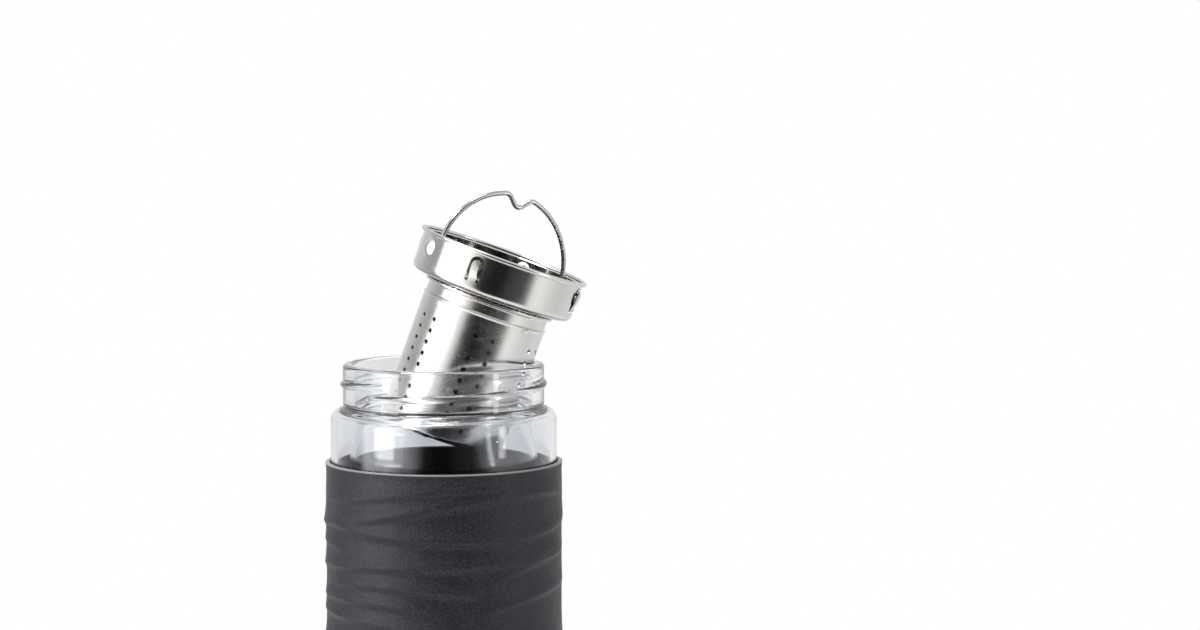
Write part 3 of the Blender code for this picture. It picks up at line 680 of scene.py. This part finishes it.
def cut(bm, tools):
    """Cut a mesh of tools out of a shape and give the cut shape back."""
    things = []
    for name, part in (("blank", bm), ("tools", tools)):
        mesh = bpy.data.meshes.new(name)
        part.to_mesh(mesh)
        part.free()
        things.append(bpy.data.objects.new(name, mesh))
        bpy.context.scene.collection.objects.link(things[-1])
    boolean = things[0].modifiers.new("cut", "BOOLEAN")
    boolean.operation = "DIFFERENCE"
    boolean.solver = "EXACT"
    boolean.object = things[1]
    result = bmesh.new()
    result.from_object(things[0], bpy.context.evaluated_depsgraph_get())
    for thing in things:
        bpy.data.objects.remove(thing, do_unlink=True)
    return result


def facing(turn):
    """Angle from +X of a direction that is given from the front, towards the right."""
    return turn - pi / 2


def radial_frame(turn, radius, height):
    """Matrix whose +Z points out of a ring at this turn, with +Y up."""
    return (Matrix.Rotation(facing(turn), 4, "Z") @ Matrix.Translation((radius, 0, height))
            @ Matrix.Rotation(pi / 2, 4, "Y") @ Matrix.Rotation(pi / 2, 4, "Z"))


# %% [markdown]
# The tongues are bent outwards as springs, which hold the infuser in the neck. Bending only moves vertices,
# so the sheet keeps its thickness.

# %% Cut and bend the tongues
TONGUE_COUNT = 4
TONGUE_TURN = radians(-14.7)
TONGUE_TOP = 1.8 * MM
SLOT_HEIGHT = 7.7 * MM
SLOT_WIDTH = 1.1 * MM
TONGUE_WIDTH = 2.2 * MM
TONGUE_BEND = 1.0 * MM
TONGUE_CURL = 0.68 * pi        # past a quarter turn, the tip comes back in
TONGUE_START = 2.5             # how fast the bend sets in above the hinge
TOOL_REACH = 1.0 * MM
tongue_hinge = SLOT_WIDTH / 2 - TONGUE_TOP - SLOT_HEIGHT


def slot_tools():
    """One tool per slot: its n-shaped outline with round feet, extruded through the band."""
    bm = bmesh.new()
    outer, inner, cap = TONGUE_WIDTH / 2 + SLOT_WIDTH, TONGUE_WIDTH / 2, SLOT_WIDTH / 2
    foot = cap - SLOT_HEIGHT
    outline = arc(0, -outer, outer, 0, pi, 14) + arc(-outer + cap, foot, cap, pi, 2 * pi, 6)
    outline += arc(0, -outer, inner, pi, 0, 10) + arc(outer - cap, foot, cap, pi, 2 * pi, 6)
    for i in range(TONGUE_COUNT):
        face = bm.faces.new([bm.verts.new((x, y, 0)) for x, y in outline])
        raised = bmesh.ops.extrude_face_region(bm, geom=[face])["geom"]
        top = [v for v in raised if isinstance(v, bmesh.types.BMVert)]
        bmesh.ops.translate(bm, verts=top, vec=(0, 0, STEEL + 2 * TOOL_REACH))
        place = radial_frame(TONGUE_TURN + 2 * pi * i / TONGUE_COUNT, collar_bore - TOOL_REACH, -TONGUE_TOP)
        bmesh.ops.transform(bm, matrix=place, verts=list(face.verts) + top)
    bmesh.ops.recalc_face_normals(bm, faces=bm.faces)
    return bm


def bend_tongues(bm):
    """Bulge each tongue out of its slot. Its tip turns back a little, so that it slides into the neck."""
    middle = (TONGUE_WIDTH + SLOT_WIDTH) / 2
    arch_z = -TONGUE_TOP - SLOT_WIDTH - TONGUE_WIDTH / 2
    spacing = 2 * pi / TONGUE_COUNT
    for vert in bm.verts:
        turn = atan2(vert.co.y, vert.co.x) - facing(TONGUE_TURN)
        radius = vert.co.xy.length
        across = ((turn + spacing / 2) % spacing - spacing / 2) * radius
        in_arch = vert.co.z < arch_z or sqrt(across ** 2 + (vert.co.z - arch_z) ** 2) < middle
        if radius > collar_bore - WELD and abs(across) < middle and in_arch and vert.co.z > tongue_hinge:
            share = (vert.co.z - tongue_hinge) / (arch_z + TONGUE_WIDTH / 2 - tongue_hinge)
            vert.co.xy *= 1 + TONGUE_BEND * sin(TONGUE_CURL * share) * min(1.0, TONGUE_START * share) / radius


# %% [markdown]
# The two seats are shallow domes pressed from inside. A point of the band moves out by how near it is to the
# middle of a seat, which shapes the outside and the hollow behind it together.

# %% Press the bail seats and make the collar
SEAT_TURN = radians(120.3)
SEAT_RADIUS = 2.8 * MM
SEAT_RISE = 1.2 * MM
SEAT_FULLNESS = 0.9


def press_seats(bm):
    """Press a dome out of the band at each seat."""
    for turn in (SEAT_TURN, SEAT_TURN + pi):
        outwards = Vector((cos(facing(turn)), sin(facing(turn)), 0))
        for vert in bm.verts:
            radius = vert.co.xy.length
            across = (vert.co.xy.to_3d() - outwards * radius).length
            near = sqrt(across ** 2 + (vert.co.z + SEAT_DROP) ** 2) / SEAT_RADIUS
            if near < 1 and radius > collar_bore - WELD:
                vert.co.xy *= 1 + SEAT_RISE * (1 - near ** 2) ** SEAT_FULLNESS / radius


def make_collar():
    """Turn, cut, bend and press the collar, and tilt it into its place."""
    bm = cut(turned_collar(), slot_tools())
    bend_tongues(bm)
    press_seats(bm)
    bm.transform(infuser_frame)
    finished("steel_collar", bm, sheet_steel, "infuser", "collar_steel", "infuser_collar")


make_collar()

# %% [markdown]
# ## Infuser basket
# The basket is a drawn steel tube. Its upper end is folded outwards above and below the collar's floor, and
# crimped there with small teeth. A slight step below the crimp makes the tube stiff. It is turned as one
# closed outline, and then the teeth and one small nick are made by moving vertices.

# %% Turn the basket
BASKET_RADIUS = 18.7 * MM
BASKET_DEPTH = 56.6 * MM
STEP_DROP = 17.8 * MM
STEP_RUN = 0.6 * MM
BEAD_RISE = 0.3 * MM           # stiffening bead, just above the step
BEAD_HEIGHT = 0.5 * MM
SEAM_WIDTH = 1.2 * MM
SEAM_HEIGHT = 1.5 * MM
SEAM_STRAIGHT = 0.8 * SEAM_HEIGHT
SEAM_ROLL = 0.6 * MM
BASKET_ROUND = 1.5 * MM
FLOOR_LEDGE = 2.2 * MM
CRIMP_GAP = 0.5 * MM           # dark gap between the collar's floor and the crimp
CRIMP_TEETH = 54
TOOTH_RISE = 0.32 * MM
TOOTH_SHARPNESS = 8
NICK_TURN, NICK_DROP = radians(44.7), 18.3 * MM
NICK_SIZE = (1.5 * MM, 0.5 * MM, 0.35 * MM)
BASKET_SIDES, BASKET_STEP = 288, 0.6 * MM
seam_radius = UPPER_RADIUS + SEAM_WIDTH
seam_top = -COLLAR_HEIGHT - FIT_GAP
crimp_top = seam_top - CRIMP_GAP
roll_foot = STEEL - COLLAR_HEIGHT + FIT_GAP


def turned_basket():
    """Spin the tube's sheet, with its crimp, bead, step and ledge, and give it teeth and a nick."""
    bore, main_bore = UPPER_RADIUS - STEEL, BASKET_RADIUS - STEEL
    ledge = main_bore - FLOOR_LEDGE
    edge = STEEL / 3
    bm = lathe(rounded([
        (bore, roll_foot + SEAM_ROLL, edge), (seam_radius, roll_foot + SEAM_ROLL, edge),
        (seam_radius, roll_foot, edge), (UPPER_RADIUS, roll_foot, 0), (UPPER_RADIUS, crimp_top, 0),
        (seam_radius, crimp_top, edge), (seam_radius, seam_top - SEAM_STRAIGHT, edge),
        (UPPER_RADIUS, seam_top - SEAM_HEIGHT, STEEL), (UPPER_RADIUS, BEAD_HEIGHT - STEP_DROP, STEEL / 2),
        (BASKET_RADIUS + BEAD_RISE, -STEP_DROP, edge), (BASKET_RADIUS, -STEP_DROP - STEP_RUN, STEEL / 2),
        (BASKET_RADIUS, -BASKET_DEPTH, BASKET_ROUND),
        (ledge, -BASKET_DEPTH, edge), (ledge, STEEL - BASKET_DEPTH, edge),
        (main_bore, STEEL - BASKET_DEPTH, BASKET_ROUND - STEEL), (main_bore, -STEP_DROP - STEP_RUN, edge),
        (bore, -STEP_DROP, edge)]), BASKET_SIDES, BASKET_STEP, closed=True)
    for vert in bm.verts:
        turn = atan2(vert.co.y, vert.co.x)
        if abs(vert.co.z - crimp_top) < edge and vert.co.xy.length > UPPER_RADIUS + STEEL:
            vert.co.z += TOOTH_RISE * max(0.0, cos(CRIMP_TEETH * turn)) ** TOOTH_SHARPNESS
        across = (turn - facing(NICK_TURN)) * BASKET_RADIUS / NICK_SIZE[0]
        near = across ** 2 + ((vert.co.z + NICK_DROP) / NICK_SIZE[1]) ** 2
        if near < 1:
            vert.co.xy *= 1 - NICK_SIZE[2] * (1 - near) / BASKET_RADIUS
    return bm


# %% [markdown]
# Pairs of hole columns run down the wall. They are even, but for one pair at the back that stands a few
# degrees off, so that no light shines straight through it and the holes on the front. All are drilled by one
# Boolean.

# %% Drill the holes and make the basket
HOLE_RADIUS = 0.72 * MM
HOLE_PITCH = 3.46 * MM
HOLE_ROWS = 9
HOLE_DROP = 24.05 * MM
HOLE_TURN = radians(-59.4)
HOLE_PAIRS = 6
PAIR_TURN = radians(16.364)
SHIFTED_PAIR, PAIR_SHIFT = 4, radians(-6)
HOLE_SIDES = 20


def drills(places, radius):
    """One mesh of separate round drills."""
    bm = bmesh.new()
    for place in places:
        bmesh.ops.create_cone(bm, cap_ends=True, segments=HOLE_SIDES, radius1=radius, radius2=radius,
                              depth=STEEL + 2 * TOOL_REACH, matrix=place)
    return bm


def make_basket():
    """Turn and drill the tube, and tilt it into its place."""
    shifts = [PAIR_SHIFT if pair == SHIFTED_PAIR else 0 for pair in range(HOLE_PAIRS)]
    columns = [HOLE_TURN + 2 * pi * pair / HOLE_PAIRS + offset + shifts[pair]
               for pair in range(HOLE_PAIRS) for offset in (0, PAIR_TURN)]
    places = [radial_frame(column, BASKET_RADIUS - STEEL / 2, -HOLE_DROP - HOLE_PITCH * row)
              for column in columns for row in range(HOLE_ROWS)]
    bm = cut(turned_basket(), drills(places, HOLE_RADIUS))
    bm.transform(infuser_frame)
    print(len(places), "holes in the wall")
    finished("perforated_tube", bm, tube_steel, "infuser", "basket_steel", "infuser_basket")


make_basket()

# %% [markdown]
# ## Basket floor
# The floor is a drilled disc that lies on the ledge at the tube's foot. Its holes stand in rings, six more in
# each ring, which spaces them evenly.

# %% Make the basket floor
FLOOR_SIDES = 120
FLOOR_HOLE_PITCH = 4.3 * MM
FLOOR_HOLE_RINGS = 3
FIRST_RING = 6                 # holes in the innermost ring


def make_basket_floor():
    """Turn and drill the disc, and tilt it into its place."""
    foot = STEEL + FIT_GAP - BASKET_DEPTH
    radius = BASKET_RADIUS - BASKET_ROUND - FIT_GAP
    edge = STEEL / 4
    disc = lathe(rounded([(0, foot, 0), (radius, foot, edge), (radius, foot + STEEL, edge),
                          (0, foot + STEEL, 0)], steps=3), FLOOR_SIDES, BASKET_STEP)
    places = []
    for ring in range(1, FLOOR_HOLE_RINGS + 1):
        count = FIRST_RING * ring
        places += [Matrix.Rotation(2 * pi * (i + 0.5) / count, 4, "Z")
                   @ Matrix.Translation((FLOOR_HOLE_PITCH * ring, 0, foot + STEEL / 2)) for i in range(count)]
    bm = cut(disc, drills(places, HOLE_RADIUS))
    bm.transform(infuser_frame)
    print(len(places), "holes in the floor")
    finished("perforated_floor", bm, tube_steel, "infuser", "basket_steel", "basket_floor")


make_basket_floor()

# %% [markdown]
# ## Bail
# The bail is one wire, bent cold: a foot in each seat, a round arch, and a dip in its middle to lift it by.
# Half of it is made by carrying a small circle along, with a spin for each bend and an extrusion for each
# straight, exactly as the wire is bent. The other half is its mirror image.

# %% Bend the wire
WIRE_RADIUS = 0.7 * MM
BAIL_PLAY = 2.1 * MM
BAIL_RISE = 1.1 * MM
FOOT_BEND = 1.0 * MM
DIP_BEND = 2.0 * MM
DIP_DROP = 3.5 * MM
DIP_SLOPE = radians(45)
BAIL_LEAN = radians(-7)
FOOT_CLEARANCE = 0.425 * MM    # foot's end to the hollow of its seat
WIRE_SIDES = 18


def carry(bm, ring, offset):
    """Extrude a ring of edges by an offset and give the new ring."""
    made = bmesh.ops.extrude_edge_only(bm, edges=ring)["geom"]
    bmesh.ops.translate(bm, verts=[v for v in made if isinstance(v, bmesh.types.BMVert)], vec=offset)
    return [e for e in made if isinstance(e, bmesh.types.BMEdge) and e.is_boundary]


def bend(bm, ring, centre, angle, steps):
    """Spin a ring of edges round a point of the bail's plane and give the last ring."""
    made = bmesh.ops.spin(bm, geom=ring, cent=centre, axis=(0, -1, 0), angle=angle, steps=steps)
    return [e for e in made["geom_last"] if isinstance(e, bmesh.types.BMEdge)]


def make_bail():
    """Bend one half of the wire, from its foot to the dip, and mirror it."""
    arch = collar_bore - BAIL_PLAY - WIRE_RADIUS
    tip = COLLAR_RADIUS + SEAT_RISE - STEEL - FOOT_CLEARANCE
    dip_z = BAIL_RISE + arch - DIP_DROP + DIP_BEND
    line = Vector((2 * DIP_BEND * sin(DIP_SLOPE), 0, dip_z - 2 * DIP_BEND * cos(DIP_SLOPE) - BAIL_RISE))
    slope = Vector((cos(DIP_SLOPE), 0, sin(DIP_SLOPE)))
    flank = sqrt(line.dot(slope) ** 2 + (arch - DIP_BEND) ** 2 - line.length_squared) - line.dot(slope)
    crest = line + slope * flank
    touch = atan2(crest.z, crest.x)
    bm = bmesh.new()
    place = Matrix.Translation((tip, 0, 0)) @ Matrix.Rotation(pi / 2, 4, "Y")
    bmesh.ops.create_circle(bm, segments=WIRE_SIDES, radius=WIRE_RADIUS, matrix=place)
    ring = carry(bm, bm.edges[:], (arch + FOOT_BEND - tip, 0, 0))
    ring = bend(bm, ring, (arch + FOOT_BEND, 0, FOOT_BEND), -pi / 2, 8)
    ring = carry(bm, ring, (0, 0, BAIL_RISE - FOOT_BEND))
    ring = bend(bm, ring, (0, 0, BAIL_RISE), touch, 44)
    ring = bend(bm, ring, crest + Vector((0, 0, BAIL_RISE)), pi / 2 + DIP_SLOPE - touch, 12)
    ring = carry(bm, ring, -slope * flank)
    ring = bend(bm, ring, (0, 0, dip_z), -DIP_SLOPE, 8)
    bmesh.ops.mirror(bm, geom=bm.verts[:] + bm.edges[:] + bm.faces[:], axis="X", merge_dist=NEAR)
    bmesh.ops.holes_fill(bm, edges=[e for e in bm.edges if e.is_boundary], sides=0)
    bmesh.ops.remove_doubles(bm, verts=bm.verts, dist=WELD)
    bmesh.ops.recalc_face_normals(bm, faces=bm.faces)
    bm.transform(infuser_frame @ Matrix.Translation((0, 0, -SEAT_DROP))
                 @ Matrix.Rotation(facing(SEAT_TURN), 4, "Z") @ Matrix.Rotation(BAIL_LEAN, 4, "X"))
    finished("wire_bail", bm, wire_steel, "bail", "wire_steel", "bail_handle")


make_bail()

# %% [markdown]
# ## Studio: floor
# The mug stands on a plain pale disc that melts into the white surroundings, so no edge or horizon is seen
# from any side. Its finish fades from matt white in the middle to fully clear at its edge.

# %% Floor
FLOOR_RADIUS = 0.45
FLOOR_FADE = 0.2               # from this radius on, the paint gets clearer
FLOOR_EDGES = 96


def make_floor():
    """A disc with a paint that fades out towards its edge."""
    bm = bmesh.new()
    bmesh.ops.create_circle(bm, cap_ends=True, segments=FLOOR_EDGES, radius=FLOOR_RADIUS)
    mesh = bpy.data.meshes.new("studio_floor")
    bm.to_mesh(mesh)
    bm.free()
    paint, shader = finish("matt white floor", (0.9, 0.9, 0.9), 0.8)
    tree = paint.node_tree
    coordinates = node(tree, "ShaderNodeTexCoord")
    away = node(tree, "ShaderNodeVectorMath", [(coordinates.outputs["Object"], 0)], operation="LENGTH")
    tree.links.new(spread(tree, away.outputs["Value"], 1.0, 0.0, FLOOR_FADE, FLOOR_RADIUS),
                   shader.inputs["Alpha"])
    mesh.materials.append(paint)
    floor = bpy.data.objects.new("studio_floor", mesh)
    bpy.context.scene.collection.objects.link(floor)
    print(f"floor fades from {FLOOR_FADE} to {FLOOR_RADIUS} m")


make_floor()

# %% [markdown]
# ## Studio: surroundings
# Steel shows nothing of its own: it mirrors the room. So the room is a wheel of light and dark cards round
# the mug: a bright soft box on the left, a dark front behind the camera, a lit card on the right, and pale
# grey behind. Each card is a stop of a colour ramp over the compass direction, given as degrees from the
# front and a brightness. High up and low down the wheel fades into plain white, as under a light tent.

# %% Wheel of cards
WHEEL_PEAK = 3.5               # the brightest card
WHEEL = [(-180, 0.78), (-168, 0.82), (-160, 0.9), (-150, 0.8), (-133, 0.78), (-118, 0.62), (-102, 0.5),
         (-91, 0.55), (-84, 3.5), (-54, 3.5), (-46, 1.7), (-36, 1.25), (-29, 0.85), (-23, 0.15), (-17, 0.035),
         (-6, 0.02), (8, 0.02), (17, 0.06), (26, 0.08), (38, 0.11), (45, 0.3), (53, 1.1), (60, 1.25),
         (70, 1.2), (88, 0.95), (104, 0.85), (124, 0.95), (136, 0.97), (150, 0.85), (162, 0.9), (169, 0.82),
         (180, 0.78)]
WHEEL_BANDS = [(-0.75, 0.0), (-0.35, 1.0), (0.5, 1.0), (0.8, 0.0)]  # the wheel's share, by height


def set_stops(ramp, stops):
    """Give a colour ramp these (position, grey) stops."""
    while len(ramp.elements) > 1:
        ramp.elements.remove(ramp.elements[-1])
    for i, (place, grey) in enumerate(stops):
        stop = ramp.elements[0] if i == 0 else ramp.elements.new(place)
        stop.position = place
        stop.color = (grey, grey, grey, 1)


# %% [markdown]
# What the camera sees directly is pure white. Matt surfaces get an even, weaker light, so that the lamps can
# shape them, while steel and glass mirror the wheel. The kind of ray decides which of them it meets.

# %% Surroundings
MATT_LIGHT = 0.6               # what matt surfaces get of the tent's light


def make_surroundings():
    """A world that mixes the wheel, the tent and the plain white that the camera sees."""
    world = bpy.data.worlds.new("studio")
    world.use_nodes = True
    tree = world.node_tree
    tree.nodes.clear()
    direction = node(tree, "ShaderNodeTexCoord").outputs["Generated"]
    turned = node(tree, "ShaderNodeMapping", [(direction, "Vector")], Rotation=(0, 0, pi / 2))
    compass = node(tree, "ShaderNodeTexGradient", [(turned.outputs[0], "Vector")], gradient_type="RADIAL")
    cards = node(tree, "ShaderNodeValToRGB", [(compass.outputs["Fac"], "Fac")])
    set_stops(cards.color_ramp, [(turn / 360 + 0.5, value / WHEEL_PEAK) for turn, value in WHEEL])
    split = node(tree, "ShaderNodeSeparateXYZ", [(direction, "Vector")])
    band = node(tree, "ShaderNodeValToRGB", [(spread(tree, split.outputs["Z"], 0, 1, -1, 1), "Fac")])
    set_stops(band.color_ramp, [(height / 2 + 0.5, share) for height, share in WHEEL_BANDS])
    tent = node(tree, "ShaderNodeBackground", Color=(1, 1, 1, 1), Strength=1.0)
    wheel = node(tree, "ShaderNodeBackground", [(cards.outputs["Color"], "Color")], Strength=WHEEL_PEAK)
    room = node(tree, "ShaderNodeMixShader", [(band.outputs["Color"], 0)])
    tree.links.new(tent.outputs[0], room.inputs[1])
    tree.links.new(wheel.outputs[0], room.inputs[2])
    seen = node(tree, "ShaderNodeBackground", Color=(1, 1, 1, 1), Strength=1.0)
    rays = node(tree, "ShaderNodeLightPath").outputs
    soft = node(tree, "ShaderNodeBackground", Color=(1, 1, 1, 1), Strength=MATT_LIGHT)
    matt = node(tree, "ShaderNodeMixShader",
                [(rays["Is Diffuse Ray"], 0), (room.outputs[0], 1), (soft.outputs[0], 2)])
    pick = node(tree, "ShaderNodeMixShader", [(rays["Is Camera Ray"], 0)])
    tree.links.new(matt.outputs[0], pick.inputs[1])
    tree.links.new(seen.outputs[0], pick.inputs[2])
    output = node(tree, "ShaderNodeOutputWorld")
    tree.links.new(pick.outputs[0], output.inputs["Surface"])
    bpy.context.scene.world = world
    print(len(WHEEL), "cards in the wheel")


make_surroundings()

# %% [markdown]
# ## Studio: lamps
# A key lamp high on the left grazes the dark sleeve, so that its ripples show. A top lamp draws the upper
# edges: the rim of the collar, the lip of the glass and the edge of the sleeve. A narrow strip on the right
# and a low window on the left put patches of light on the glass walls. All four are soft boxes, because a
# point lamp would leave hard spots on the steel.

# %% Lamps
AIM_HEIGHT = 0.9 * RIM_HEIGHT


def lamp(name, turn, height, distance, size, glow):
    """A soft box at a turn from the front, which points at the mug's neck. Its glow is its brightness."""
    data = bpy.data.lights.new(name, "AREA")
    data.shape = "RECTANGLE"
    data.size, data.size_y = size
    data.energy = glow * pi * size[0] * size[1]
    thing = bpy.data.objects.new(name, data)
    thing.location = (distance * sin(radians(turn)), -distance * cos(radians(turn)), height)
    aim = Vector((0, 0, AIM_HEIGHT)) - thing.location
    thing.rotation_euler = aim.to_track_quat("-Z", "Y").to_euler()
    thing.visible_camera = False
    bpy.context.scene.collection.objects.link(thing)
    print(f"{name}: {data.energy:.2f} W")


lamp("key lamp", turn=-62, height=1.05, distance=0.45, size=(0.24, 0.24), glow=38.0)
lamp("top lamp", turn=180, height=1.1, distance=0.05, size=(0.3, 0.3), glow=8.0)
lamp("side strip", turn=64, height=0.26, distance=1.0, size=(0.12, 0.42), glow=4.5)
lamp("left window", turn=-60, height=0.2, distance=1.0, size=(0.4, 0.3), glow=4.5)

# %% [markdown]
# ## Camera
# The photograph was taken from slightly above the lip and a little to the right of the mug, with a long lens.
# The camera looks straight ahead and a little down, so the mug stands left of the picture's middle.

# %% Camera
CAMERA_PLACE = (0.0462, -0.818, 0.2545)
CAMERA_PITCH = radians(4.36)   # below the horizontal
LENS = 83.4

camera = bpy.data.objects.new("camera", bpy.data.cameras.new("camera"))
camera.data.lens = LENS
camera.location = CAMERA_PLACE
camera.rotation_euler = (pi / 2 - CAMERA_PITCH, 0, 0)
bpy.context.scene.collection.objects.link(camera)
bpy.context.scene.camera = camera
bpy.context.scene.view_settings.view_transform = "Standard"
print(f"camera {-camera.location.y:.2f} m in front of the mug, lens {camera.data.lens:.1f} mm")

# %% Finish
bpy.context.view_layer.update()
